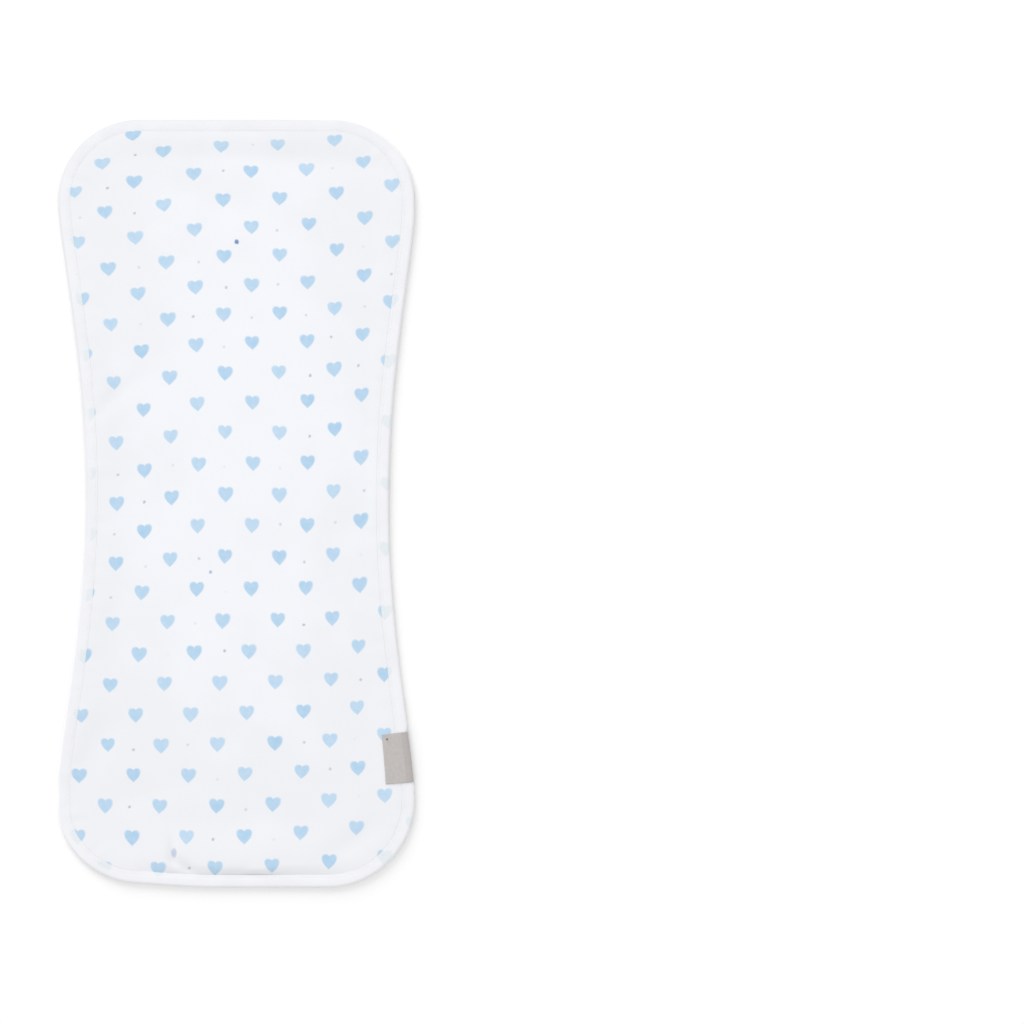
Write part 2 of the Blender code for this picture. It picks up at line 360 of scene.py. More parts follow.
# %% Place of each point in the printed repeat
REPEAT_ACROSS = 39.06 * MM
REPEAT_UP = 42.65 * MM
REPEAT_START = (10.9 * MM, 25.15 * MM)
WAIST_SHARE = 0.29
DRIFTS = [  # name, size in mm, then the sign and the reach in mm of its growth along y, and the same along x
    ("foot", 5.8, -1, (20, 260), 0, None),
    ("top", 1.2, 1, (180, 250), 0, None),
    ("top left", 4.0, 1, (40, 240), -1, (20, 100)),
    ("left foot", -2.5, -1, (100, 180), -1, (50, 110)),
]
LEAN = (0.029, 0.051)
LEAN_MIDDLE = 10.0 * MM
LEAN_REACH = (-60.0 * MM, 220.0 * MM)
RIGHT_SAG = (30.0 * MM, 0.6)
BOW_HEIGHT = 3.0 * MM
BOW_MIDDLE = -22.0 * MM
BOW_WIDTH = 38.0 * MM
BOW_REACH = (-110.0 * MM, 20.0 * MM)
CORNER_DROOP = 4.5 * MM
DROOP_REACH = (300.0 * MM, 335.0 * MM)
TOP_CLOSING = 5.5
PULLS = [  # name, x, y, half width, half height, pull across and pull up, all in mm
    ("middle", 0, 25, 130, 60, 1.4, 0.0),
    ("left waist", -105, 10, 75, 75, 0.0, -2.4),
    ("lower right", 65, -90, 50, 60, 0.0, -1.7),
    ("top row", 0, 268, 230, 26, 0.0, -4.0),
    ("left foot", -115, -215, 55, 60, 0.0, 3.5),
    ("right foot", 75, -225, 40, 45, 0.0, 2.0),
    ("right edge", 115, -125, 32, 70, -2.4, 0.0),
    ("right waist", 105, 35, 25, 60, 0.0, 1.6),
]


def pulled(x, y):
    """x and y before the cloth was pulled askew: each pull is a bell shape that fades from its middle."""
    across, up = x, y
    for _, middle_x, middle_y, half_width, half_height, pull_across, pull_up in PULLS:
        share = np.exp(-((x / MM - middle_x) / half_width) ** 2 - ((y / MM - middle_y) / half_height) ** 2)
        across = across - pull_across * MM * share
        up = up - pull_up * MM * share
    return across, up


def print_place(x, y):
    """Steps across and up in the repeat: the cloth's own x and y, with the local pulls, the waist, the
    lean, the sag at the right, the bow of the rows and the drifts towards the ends taken out, divided by
    the size of a step."""
    x, y = pulled(x, y)
    drift = 0.0
    for _, size, sign_y, reach_y, sign_x, reach_x in DRIFTS:
        share = smooth_step(sign_y * y / MM, *reach_y)
        if reach_x:
            share = share * smooth_step(sign_x * x / MM, *reach_x)
        drift = drift + size * MM * share
    across = (x / (1.0 - WAIST_SHARE * waist_pull(x, y)) - REPEAT_START[0] + drift) / REPEAT_ACROSS
    lean = LEAN[0] + LEAN[1] * smooth_step(y, *LEAN_REACH)
    level = y - lean * (x - LEAN_MIDDLE) - RIGHT_SAG[1] * np.maximum(x - RIGHT_SAG[0], 0.0) ** 2
    bow = np.exp(-((x - BOW_MIDDLE) / BOW_WIDTH) ** 2) * smooth_step(y, *BOW_REACH)
    level = level - BOW_HEIGHT * bow + CORNER_DROOP * smooth_step(y - x, *DROOP_REACH)
    up = (level - REPEAT_START[1]) / REPEAT_UP + TOP_CLOSING * np.maximum(level, 0.0) ** 2
    return np.stack([across, up], axis=-1)


# %% [markdown]
# A mesh is only points, faces and, for a pattern, a map that gives each face corner a place. The helper
# below takes them as whole arrays. A map is given for each point, or for each face corner where a pattern
# has to jump across a join.

# %% Helpers that turn arrays into pieces
def placed(name, data):
    """A mesh, a lamp or a camera, put in the scene."""
    thing = bpy.data.objects.new(name, data)
    bpy.context.scene.collection.objects.link(thing)
    return thing


def new_piece(name, points, faces, maps, materials, face_material=None):
    """A mesh object at the origin. maps is a dictionary of map name to one pair of numbers for each point
    or for each face corner."""
    mesh = bpy.data.meshes.new(name)
    mesh.from_pydata(points.tolist(), [], faces.tolist())
    corner_points = np.empty(len(mesh.loops), dtype=np.int32)
    mesh.loops.foreach_get("vertex_index", corner_points)
    for map_name, pairs in maps.items():
        if len(pairs) == len(points):
            pairs = pairs[corner_points]
        layer = mesh.uv_layers.new(name=map_name)
        layer.data.foreach_set("uv", pairs.astype(np.float32).ravel())
    for material in materials:
        mesh.materials.append(material)
    if face_material is not None:
        mesh.polygons.foreach_set("material_index", face_material.astype(np.int32))
    mesh.shade_smooth()
    mesh.validate()
    print(name, "has", len(mesh.vertices), "points and", sum(len(f) - 2 for f in faces), "triangles")
    return placed(name, mesh)


def grid_corners(rows, columns):
    """The four (row, column) corners of each face of a grid, as two arrays with one line for each face."""
    row, column = np.meshgrid(np.arange(rows), np.arange(columns), indexing="ij")
    row, column = row.ravel(), column.ravel()
    return (np.stack([row, row, row + 1, row + 1], axis=1),
            np.stack([column, column + 1, column + 1, column], axis=1))


def ring_of(points, inward, along, inset, height, puckered=False):
    """One line that runs round the outline at an inset, as points with x, y and z."""
    flat = points + inward * inset
    depth = np.full(len(flat), max(inset, 0.0))
    z = height(flat[:, 0], flat[:, 1], depth)
    if puckered:
        z = z + pucker(along, depth)
    return np.column_stack([flat, z])


# %% [markdown]
# Printed cotton. The cloth itself is a matt white with a faint cool cast, and its threads only show as a
# fine tooth. The hearts are drawn by the material: in each step of the repeat, a closed formula says how
# far a point is inside a heart. That stays sharp at any size and needs no picture. Nodes are tedious to
# join one by one, so a small class lets the formulas be written as they are read. Dye never takes evenly,
# so each heart gets its own tone, and a small turn and shift, from a random number that belongs to its
# cell.

# %% Numbers that a material works out
CLOTH_SPECULAR = 0.25
SHEEN_ROUGHNESS = 0.6


class Reading:
    """A number, a colour or a place inside a material. Arithmetic on it adds the nodes that do the sum, so
    that a formula can be written as it is read."""

    def __init__(self, tree, socket):
        self.tree = tree
        self.socket = socket

    def step(self, operation, *others):
        """One step of arithmetic by its name."""
        node = self.tree.nodes.new("ShaderNodeMath")
        node.operation = operation
        for value, socket in zip((self,) + others, node.inputs):
            plug(value, socket)
        return Reading(self.tree, node.outputs[0])

    def __add__(self, other):
        return self.step("ADD", other)

    def __sub__(self, other):
        return self.step("SUBTRACT", other)

    def __mul__(self, other):
        return self.step("MULTIPLY", other)

    def __truediv__(self, other):
        return self.step("DIVIDE", other)

    def __pow__(self, power):
        return self.step("POWER", power)


def plug(value, socket):
    """Link a socket to a reading, or else store the value in it."""
    if isinstance(value, Reading):
        value.tree.links.new(value.socket, socket)
    else:
        socket.default_value = value


def node_reading(tree, kind, output, settings):
    """One node of a kind, with a value or a reading for each named input, and what its output gives."""
    node = tree.nodes.new(kind)
    if kind == "ShaderNodeMix":
        node.data_type = "RGBA"
    if kind == "ShaderNodeMapRange":
        node.interpolation_type = "SMOOTHSTEP"
    for name, value in settings.items():
        plug(value, node.inputs[name])
    return Reading(tree, node.outputs[output])


def step_between(value, start, end, low=0.0, high=1.0):
    """low before start, high after end, and an S-curve between them."""
    return node_reading(value.tree, "ShaderNodeMapRange", "Result", {
        "Value": value, "From Min": start, "From Max": end, "To Min": low, "To Max": high})


def mixed(share, first, second):
    """The first colour, with a share of the second over it."""
    return node_reading(share.tree, "ShaderNodeMix", "Result", {"Factor": share, "A": first, "B": second})


def mottle(place, scale, detail=2.0):
    """Soft cloudy noise from 0 to 1, with scale blotches to the metre."""
    settings = {"Scale": scale, "Detail": detail, "Vector": place}
    return node_reading(place.tree, "ShaderNodeTexNoise", "Fac", settings)


def parts_of(place):
    """The three numbers of a place or of a colour."""
    node = place.tree.nodes.new("ShaderNodeSeparateXYZ")
    plug(place, node.inputs[0])
    return [Reading(place.tree, socket) for socket in node.outputs]


def dice(column, row, layer):
    """Three random numbers that stay the same over a cell."""
    cell = node_reading(column.tree, "ShaderNodeCombineXYZ", 0, {"X": column, "Y": row, "Z": layer})
    return parts_of(node_reading(column.tree, "ShaderNodeTexWhiteNoise", "Color", {"Vector": cell}))


def weave(first, second, first_turns, second_turns):
    """Height from 0 to 1 of threads that cross: the sine one way times the sine the other way."""
    one_way = (first * (2.0 * np.pi * first_turns)).step("SINE")
    other_way = (second * (2.0 * np.pi * second_turns)).step("SINE")
    return one_way * other_way * 0.5 + 0.5


def off_middle(place, middle, size):
    """Square of the distance from a middle in plan, counted in sizes."""
    x, y, _ = parts_of(place)
    off_x = (x - middle[0]) / size[0]
    off_y = (y - middle[1]) / size[1]
    return off_x * off_x + off_y * off_y


def cloth_material(name, roughness, sheen):
    """A matt cloth shader with no colour yet. Returns the material, its shader and the place in the
    object."""
    material = bpy.data.materials.new(name)
    material.use_nodes = True
    tree = material.node_tree
    shader = tree.nodes["Principled BSDF"]
    for socket, value in (("Roughness", roughness), ("Specular IOR Level", CLOTH_SPECULAR),
                          ("Sheen Weight", sheen), ("Sheen Roughness", SHEEN_ROUGHNESS)):
        shader.inputs[socket].default_value = value
    return material, shader, Reading(tree, tree.nodes.new("ShaderNodeTexCoord").outputs["Object"])


def map_place(material, name):
    """The place that a piece's own map gives."""
    node = material.node_tree.nodes.new("ShaderNodeUVMap")
    node.uv_map = name
    return Reading(material.node_tree, node.outputs[0])


def finish_cloth(shader, colour, height, depth, strength):
    """Give the shader its colour, and raise its shading by a height from 0 to 1, over a depth in metres."""
    plug(colour, shader.inputs["Base Color"])
    settings = {"Distance": depth, "Strength": strength, "Height": height}
    plug(node_reading(colour.tree, "ShaderNodeBump", 0, settings), shader.inputs["Normal"])


# %% Hearts of the half-drop repeat
MM_ACROSS = REPEAT_ACROSS / MM
MM_UP = REPEAT_UP / MM
HEART_HALF_WIDTH = 5.25  # this and the next, and the shift, in mm
HEART_HALF_HEIGHT = 4.5
HEART_CLEFT = 0.72
HEART_CLEFT_POWER = 0.66
HEART_SOFTNESS = 0.32
HEART_LEVEL = 0.045
HEART_SHIFT = 1.0
HEART_TURN = 0.14
HEART_SIZES = (0.95, 1.04)
HEART_LAYER = 3.0


def heart_rows(repeat, shift):
    """How much of a heart each point is, and that heart's random number, for one of the two sets of rows.
    With a = |x| / half width, a heart is where a squared plus (y / half height - cleft times a to a power)
    squared is below 1: a circle whose sides have been pushed up."""
    across, up, _ = parts_of(repeat)
    across = across + shift
    up = up + shift
    column = (across + 0.5).step("FLOOR")
    row = (up + 0.5).step("FLOOR")
    first, second, third = dice(column, row, HEART_LAYER + shift)
    x = (across - column) * MM_ACROSS
    y = (up - row) * MM_UP + x * HEART_LEVEL
    x = x + (first - 0.5) * HEART_SHIFT
    y = y + (second - 0.5) * HEART_SHIFT
    turn = (third - 0.5) * HEART_TURN
    size = second * (HEART_SIZES[1] - HEART_SIZES[0]) + HEART_SIZES[0]
    a = ((x + turn * y) / size).step("ABSOLUTE") / HEART_HALF_WIDTH
    b = (y - turn * x) / size / HEART_HALF_HEIGHT - a ** HEART_CLEFT_POWER * HEART_CLEFT
    return step_between(a * a + b * b, 1.0 - HEART_SOFTNESS, 1.0 + HEART_SOFTNESS, 1.0, 0.0), first


def hearts(repeat):
    """Both sets of rows together. They never meet, so the greater of the two is the print."""
    inside, tone = heart_rows(repeat, 0.0)
    other_inside, other_tone = heart_rows(repeat, 0.5)
    is_other = other_inside.step("GREATER_THAN", inside)
    return inside.step("MAXIMUM", other_inside), tone + (other_tone - tone) * is_other


# %% Specks between the hearts
SPECK_SHARE = 0.45
SPECK_RADIUS = (0.5, 1.5)  # in mm, as the shift
SPECK_SHIFT = 5.0
SPECK_STRENGTH = 0.75
SPECK_RAGGED = 1.3
SPECK_LAYER = 8.0
FLECK_RAGGED = 1.4
FLECK_FADE = (0.2, 1.8)
FLECKS = [  # name, x and y in mm, half width and half height in mm, strength
    ("upper fleck", 0.5, 180.0, 1.5, 1.6, 1.0),
    ("lower fleck", -17.5, -47.6, 1.1, 1.1, 0.6),
    ("foot fleck", -42.8, -241.2, 1.9, 3.2, 0.42),
]


def specks(repeat, ragged):
    """Small faint dots, some of them missing, half way between the hearts: the repeat turned by half a
    right angle has its cell middles there. ragged is a noise that makes their outlines uneven."""
    across, up, _ = parts_of(repeat)
    total = across + up
    rest = across - up
    cell_total = total.step("FLOOR") + 0.5
    cell_rest = rest.step("FLOOR") + 0.5
    first, second, third = dice(cell_total, cell_rest, SPECK_LAYER)
    off_total = total - cell_total
    off_rest = rest - cell_rest
    x = (off_total + off_rest) * (MM_ACROSS / 2.0) + (first - 0.5) * SPECK_SHIFT
    y = (off_total - off_rest) * (MM_UP / 2.0) + (second - 0.5) * SPECK_SHIFT
    away = (x * x + y * y) ** 0.5 + (ragged - 0.5) * SPECK_RAGGED
    inside = step_between(away, *SPECK_RADIUS, 1.0, 0.0)
    return inside * step_between(third, SPECK_SHARE, 0.0, 0.0, SPECK_STRENGTH)


def fleck(place, ragged, number):
    """One of the darker flecks, each at its own place on the cloth."""
    _, x, y, half_width, half_height, strength = FLECKS[number]
    away = off_middle(place, (x * MM, y * MM), (half_width * MM, half_height * MM))
    return step_between(away + (ragged - 0.5) * FLECK_RAGGED, *FLECK_FADE, strength, 0.0)


# %% Printed cotton and its plain back
COTTON = (0.787, 0.799, 0.834, 1.0)
COTTON_SHADE = (0.765, 0.769, 0.802, 1.0)
# Partly painted light: the cotton is lighter and bluer round this middle and greyer towards the edges.
BRIGHT_MIDDLE = (5.0 * MM, 40.0 * MM)
BRIGHT_SIZE = (95.0 * MM, 230.0 * MM)
BRIGHT_BLOTCHES = 22.0
BRIGHT_RAGGED = 2.4
BRIGHT_FADE = (0.1, 1.3)
HEART_BLUE = (0.362, 0.555, 0.735, 1.0)
HEART_PALE = (0.447, 0.612, 0.766, 1.0)
SPECK_GREY = (0.340, 0.370, 0.430, 1.0)
FLECK_BLUE = (0.140, 0.260, 0.480, 1.0)
WORN_BLOTCHES = (260.0, 4.0)
WORN_SHARES = (0.25, 0.75, 0.85, 1.0)
RAGGED_BLOTCHES = 900.0
THREADS = 2.2 / MM  # to the metre


def cotton_ground(place):
    """White cotton, a little lighter and bluer in the middle and greyer towards the edges, in soft patches:
    partly the cotton's own uneven tone and partly painted light, brightest in the middle."""
    ragged = (mottle(place, BRIGHT_BLOTCHES) - 0.5) * BRIGHT_RAGGED
    away = off_middle(place, BRIGHT_MIDDLE, BRIGHT_SIZE) + ragged
    return mixed(step_between(away, *BRIGHT_FADE), COTTON, COTTON_SHADE)


def cotton(name, printed):
    """Woven cotton: a white ground and, on the pad's face, hearts, specks and flecks, over a woven tooth."""
    material, shader, place = cloth_material(name, roughness=0.85, sheen=0.15)
    colour = cotton_ground(place)
    if printed:
        repeat = map_place(material, "print")
        inside, tone = hearts(repeat)
        worn = step_between(mottle(place, *WORN_BLOTCHES), *WORN_SHARES)
        colour = mixed(inside * worn, colour, mixed(tone, HEART_BLUE, HEART_PALE))
        ragged = mottle(place, RAGGED_BLOTCHES)
        colour = mixed(specks(repeat, ragged), colour, SPECK_GREY)
        for number in range(len(FLECKS)):
            colour = mixed(fleck(place, ragged, number), colour, FLECK_BLUE)
    x, y, _ = parts_of(place)
    finish_cloth(shader, colour, weave(x, y, THREADS, THREADS), depth=0.04 * MM, strength=0.6)
    return material


pad_materials = [cotton("printed_cotton", True), cotton("plain_cotton", False)]
print("materials:", [material.name for material in pad_materials])

# %% [markdown]
# The pad could be two flat sheets with a filling, but it reads as one soft thickness, so it is one closed
# shell. Rings run round the margin, close together where the tape holds it and the seam puckers, and the
# middle is a grid that is blended between its four sides, so no face is stretched into a sliver.

# %% Printed pad
RIM_RADIUS = EDGE_MIDDLE - TAPE - GAP - 0.1 * MM
RIM_STEPS = 4
TOP_INSETS = np.array([1.7, 3.2, 4.7, 6.0, 7.0, 7.8, 8.4, 8.5, 8.6, 8.8, 9.3, 9.9, 10.6, 11.4, 12.3, 13.3,
                       14.4, 15.6, 16.9, 18.3, 19.8, 21.4, 23.0, 24.7, 26.4, 28.0]) * MM
UNDERSIDE_INSETS = np.array([28.0, 24.0, 20.0, 16.5, 13.3, 11.8, 10.3, 8.8, 5.0, 1.7]) * MM


def at_level(level):
    """The height function of a line in the section that keeps its level above the edge's own rise."""
    return lambda x, y, inset: level + edge_lift(x, y, inset)


def field_grid(border):
    """Plan points inside the innermost ring: the blend of its two long sides, plus the blend of its two
    ends, minus the blend of its four corners."""
    long_steps, short_steps = PAD_STEPS
    corner = np.cumsum([0, long_steps, short_steps, long_steps, short_steps])
    right, top, left, bottom = (closed(border)[corner[k]:corner[k + 1] + 1] for k in range(4))
    left, bottom = left[::-1], bottom[::-1]
    up = np.linspace(0.0, 1.0, long_steps + 1)[:, None, None]
    across = np.linspace(0.0, 1.0, short_steps + 1)[None, :, None]
    between_sides = right[:, None] * (1.0 - across) + left[:, None] * across
    between_ends = bottom[None, :] * (1.0 - up) + top[None, :] * up
    low = right[0] * (1.0 - across) + left[0] * across
    high = right[-1] * (1.0 - across) + left[-1] * across
    return between_sides + between_ends - low * (1.0 - up) - high * up


def border_numbers(first):
    """Grid of point numbers whose border is a ring that starts at first, with zeros to be filled inside
    it."""
    long_steps, short_steps = PAD_STEPS
    grid = np.zeros((long_steps + 1, short_steps + 1), dtype=np.int64)
    ring = first + np.arange(2 * (long_steps + short_steps))
    grid[:, 0] = ring[:long_steps + 1]
    grid[-1, :] = ring[long_steps:long_steps + short_steps + 1]
    grid[::-1, -1] = ring[long_steps + short_steps:2 * long_steps + short_steps + 1]
    grid[0, ::-1] = np.append(ring[2 * long_steps + short_steps:], first)
    return grid


def make_pad():
    """Rings from the underside, round the rim and up over the top, closed by one grid above and one below."""
    rings = [ring_of(pad_edge, pad_inward, pad_along, inset, pad_underside) for inset in UNDERSIDE_INSETS]
    for angle in np.linspace(-np.pi / 2.0, np.pi / 2.0, RIM_STEPS + 1)[1:-1]:
        inset = EDGE_MIDDLE - RIM_RADIUS * np.cos(angle)
        height = at_level(EDGE_MIDDLE + RIM_RADIUS * np.sin(angle))
        rings.append(ring_of(pad_edge, pad_inward, pad_along, inset, height))
    rings += [ring_of(pad_edge, pad_inward, pad_along, inset, pad_top, True) for inset in TOP_INSETS]
    count = len(pad_edge)
    row, column = grid_corners(len(rings) - 1, count)
    faces = [row * count + column % count]
    points = [np.vstack(rings)]
    total = len(points[0])
    for first, height, flip in ((0, pad_underside, True), ((len(rings) - 1) * count, pad_top, False)):
        plan = field_grid(points[0][first:first + count, :2])
        inner = plan[1:-1, 1:-1]
        z = height(inner[..., 0], inner[..., 1], np.full(inner.shape[:2], FIELD_INSET))
        numbers = border_numbers(first)
        numbers[1:-1, 1:-1] = total + np.arange(inner.shape[0] * inner.shape[1]).reshape(inner.shape[:2])
        total += inner.shape[0] * inner.shape[1]
        points.append(np.dstack([inner, z]).reshape(-1, 3))
        row, column = grid_corners(numbers.shape[0] - 1, numbers.shape[1] - 1)
        quads = numbers[row, column]
        faces.append(quads if flip else quads[:, ::-1])
    points = np.vstack(points)
    under_faces = np.zeros(sum(len(part) for part in faces), dtype=bool)
    under_faces[:len(UNDERSIDE_INSETS) * count] = True
    under_faces[len(faces[0]):len(faces[0]) + len(faces[1])] = True
    maps = {"print": print_place(points[:, 0], points[:, 1])}
    return new_piece("printed_pad", points, np.vstack(faces), maps, pad_materials, under_faces)


pad = make_pad()
x_round, y_round = pad_edge[:, 0], pad_edge[:, 1]
PAD_AREA = 0.5 * abs(np.sum(x_round * np.roll(y_round, -1) - y_round * np.roll(x_round, -1)))
print("pad's area, square metres:", round(PAD_AREA, 4))

# %% [markdown]
# The binding is a strip of thin white tape, pressed in half and slipped over the raw edge, then sewn
# through all layers near its inner edge. Its section is one closed line: over the top, round the fold, back
# underneath, and home along the inner face. Carried round the outline, that line makes the whole tape.

# %% Tape's section and material
STITCH_INSET = 7.0 * MM
GROOVE_DEPTH = 0.03 * MM
GROOVE_HALF_WIDTH = 1.0 * MM
THIN_START = 2.6 * MM
THIN_BY = 0.05 * MM
EDGE_ROUNDING = 0.03 * MM
INNER_THICKNESS = 0.10 * MM
FOLD_POWER = 2.3
FOLD_STEPS = 12
TAPE_TOP_INSETS = np.array([8.5, 8.42, 8.2, 7.9, 7.6, 7.3, 7.0, 6.7, 6.4, 6.0, 5.2, 4.2, 3.0]) * MM
TAPE_UNDER_INSETS = np.array([3.0, 5.0, 6.4, 7.0, 7.5, 8.2, 8.5]) * MM
TAPE_INNER_INSETS = np.array([8.5, 7.6, 6.7, 5.8, 3.5]) * MM


def pressed_in(inset):
    """How far an outer face of the tape is pressed in: a groove under the stitches, a little all the way to
    the inner edge, and a rounding at that edge. Underneath, this is the face's own level."""
    groove = GROOVE_DEPTH * np.exp(-((inset - STITCH_INSET) / GROOVE_HALF_WIDTH) ** 2)
    thin = THIN_BY * smooth_step(inset, THIN_START, BINDING_WIDTH)
    rounded = EDGE_ROUNDING * smooth_step(inset, BINDING_WIDTH - 2.0 * EDGE_ROUNDING, BINDING_WIDTH)
    return groove + thin + rounded


def tape_top_level(inset):
    """Outer face above: level near the fold, and dipping towards the seam."""
    return EDGE_HEIGHT - STITCH_DIP * smooth_step(inset, DIP_START, BINDING_WIDTH) - pressed_in(inset)


def pressed_fold(radius, steps):
    """Inset and level of points round the fold, from above to below. The pressed fold is squarer than a
    circle: its cosine and sine are taken to the power 2 / FOLD_POWER."""
    angle = np.linspace(np.pi / 2.0, -np.pi / 2.0, steps + 1)
    out = np.clip(np.cos(angle), 0.0, 1.0) ** (2.0 / FOLD_POWER)
    up = np.sign(np.sin(angle)) * np.abs(np.sin(angle)) ** (2.0 / FOLD_POWER)
    return np.column_stack([EDGE_MIDDLE - radius * out, EDGE_MIDDLE + radius * up])


def tape_section():
    """The closed line of (inset, level) pairs, outer face first."""
    top = np.column_stack([TAPE_TOP_INSETS, tape_top_level(TAPE_TOP_INSETS)])
    under = np.column_stack([TAPE_UNDER_INSETS, pressed_in(TAPE_UNDER_INSETS)])
    inner_under = np.column_stack([TAPE_INNER_INSETS, np.full(len(TAPE_INNER_INSETS), TAPE)])
    inner_insets = TAPE_INNER_INSETS[::-1]
    full = EDGE_HEIGHT - TAPE
    thinned = tape_top_level(BINDING_WIDTH) - INNER_THICKNESS - full
    inner_level = full + thinned * smooth_step(inner_insets, DIP_START, BINDING_WIDTH)
    inner_top = np.column_stack([inner_insets, inner_level])
    inner_fold = pressed_fold(EDGE_MIDDLE - TAPE, FOLD_STEPS // 2)[::-1]
    return np.vstack([top, pressed_fold(EDGE_MIDDLE, FOLD_STEPS), under, inner_under, inner_fold, inner_top])


TAPE_WHITE = (0.785, 0.788, 0.815, 1.0)
TAPE_SHADE = (0.768, 0.771, 0.800, 1.0)
TAPE_BLOTCHES = 60.0
TAPE_PATCHES = (0.35, 0.7)
# Painted shade on the tape's rounded fold: full at the top and the left, a little at the right, none at the
# foot.
PAINTED_FOLD_SHADE = (0.690, 0.692, 0.712, 1.0)
FOLD_SHADE_FROM = (6.2, 7.6)  # mm round the section from the inner edge on top
FOLD_SHADE_TO = (12.5, 14.0)
FOLD_SHADE_SHARES = (0.0, 1.0)  # at the foot and at the top
FOLD_SHADE_AT_RIGHT = 0.15
FOLD_SHADE_UP = (-0.4 * LENGTH, 0.3 * LENGTH)
FOLD_SHADE_ACROSS = (0.1 * WIDTH, 0.4 * WIDTH)
TAPE_TURNS = (1.6, 2.6)  # threads to the millimetre along and across
GHOST = (0.400, 0.590, 0.620, 1.0)
GHOST_SIDES = (0.0, WIDTH / 3.0)
GHOST_STRENGTH = (0.20, 0.24)  # left and right
GHOST_OUTSIDE = (0.25, 0.9)
GHOST_FADE = (3.0, 5.0)  # mm round the section
GHOST_TOP = (0.38 * LENGTH, 0.46 * LENGTH)
GHOST_AT_TOP = 0.2
GHOST_RISE = (EDGE_MIDDLE, EDGE_HEIGHT - 0.6 * MM)


def tape_material():
    """Thin white tape with a fine rib. The hearts of the cloth below show through it very palely: a little
    more at the right, less at the top end, and at the left only near the seam. The fold is darkened with
    painted shade, most towards the top."""
    material, shader, place = cloth_material("binding_cotton", roughness=0.8, sheen=0.2)
    inside, _ = hearts(map_place(material, "print"))
    x, y, z = parts_of(place)
    along, across, _ = parts_of(map_place(material, "tape"))
    outside = step_between(x, *GHOST_SIDES, *GHOST_OUTSIDE)
    ghost = inside * step_between(x, *GHOST_SIDES, *GHOST_STRENGTH)
    ghost = ghost * step_between(across, *GHOST_FADE, 1.0, outside)
    ghost = ghost * step_between(y, *GHOST_TOP, 1.0, GHOST_AT_TOP)
    ghost = ghost * step_between(z, *GHOST_RISE)
    # Painted shade: the fold is darkened, most towards the top and the left.
    fold = step_between(across, *FOLD_SHADE_FROM) * step_between(across, *FOLD_SHADE_TO, 1.0, 0.0)
    fold = fold * step_between(y, *FOLD_SHADE_UP, *FOLD_SHADE_SHARES)
    fold = fold * step_between(x, *FOLD_SHADE_ACROSS, 1.0, FOLD_SHADE_AT_RIGHT)
    ground = mixed(step_between(mottle(place, TAPE_BLOTCHES), *TAPE_PATCHES), TAPE_WHITE, TAPE_SHADE)
    colour = mixed(ghost, mixed(fold, ground, PAINTED_FOLD_SHADE), GHOST)
    finish_cloth(shader, colour, weave(along, across, *TAPE_TURNS), depth=0.05 * MM, strength=0.6)
    return material


# %% Binding
TAPE_STEPS = (460, 216)
ON_TOP_RISE = (EDGE_MIDDLE, EDGE_MIDDLE + 0.5 * MM)


def make_binding():
    """The section carried along the outline: row k is the line at the section's inset k, raised by its
    level, by the edge's own rise and, on top, by the puckers."""
    edge, inward, along = outline(*TAPE_STEPS)
    section = tape_section()
    rows = []
    for inset, level in section:
        line = ring_of(edge, inward, along, inset, at_level(level))
        on_top = smooth_step(level, *ON_TOP_RISE)
        depth = np.full(len(edge), max(inset, 0.0))
        line[:, 2] += on_top * (pucker(along, depth) - seam_dip(line[:, 0], line[:, 1], depth))
        rows.append(line)
    points = np.vstack(rows)
    count = len(edge)
    row, column = grid_corners(len(section), count)
    faces = (row % len(section)) * count + column % count
    around = distances(closed(section)) / MM
    along_closed = np.append(along, EDGE_LENGTH) / MM
    tape_map = np.stack([along_closed[column], around[row]], axis=-1).reshape(-1, 2)
    maps = {"print": print_place(points[:, 0], points[:, 1]), "tape": tape_map}
    return new_piece("binding_tape", points, faces, maps, [tape_material()]), section


binding, binding_section = make_binding()

# %% [markdown]
# The label is a woven ribbon, folded round the edge over the tape when the sewing is done. It lies on the
# tape, steps down on the pad and ends there, and its other end is turned underneath. Both faces follow the
# same path at two radii. Near its edges the ribbon is pressed thin, so that light catches a soft rim and
# not a knife edge.

# %% Label's material
LABEL_GREY = (0.462, 0.441, 0.430, 1.0)
LABEL_WARM = (0.512, 0.480, 0.466, 1.0)
LABEL_DARK_RIBS_AND_SHADE = (0.375, 0.345, 0.340, 1.0)
LABEL_BLOTCHES = (420.0, 3.0)
# Painted shade where the ribbon bends over the edge and turns underneath; the same dark colour also darkens
# the ribs.
LABEL_SHADED_BEND = (12.6, 13.6)  # mm from the end on top
LABEL_BEND_SHADE_SHARE = 0.4
LABEL_RIB_SHARE = 0.25
LABEL_PATCHES = (0.3, 0.7)
RIB_TURNS = (2.4, 3.1)  # to the millimetre across and along


def label_material():
    """Grey ribbon with ribs across it, worn paler in patches, and darkened with painted shade where it bends
    over the edge.
    """
    material, shader, place = cloth_material("woven_ribbon", roughness=0.62, sheen=0.25)
    along, across, _ = parts_of(map_place(material, "ribbon"))
    patches = step_between(mottle(place, *LABEL_BLOTCHES), *LABEL_PATCHES)
    # Painted shade over the bend and the turned-under end.
    bend_shade = step_between(across, *LABEL_SHADED_BEND, 0.0, LABEL_BEND_SHADE_SHARE)
    ground = mixed(bend_shade, mixed(patches, LABEL_GREY, LABEL_WARM), LABEL_DARK_RIBS_AND_SHADE)
    ribs = weave(across, along, *RIB_TURNS)
    colour = mixed(ribs * LABEL_RIB_SHARE, ground, LABEL_DARK_RIBS_AND_SHADE)
    finish_cloth(shader, colour, ribs, depth=0.08 * MM, strength=0.8)
    return material


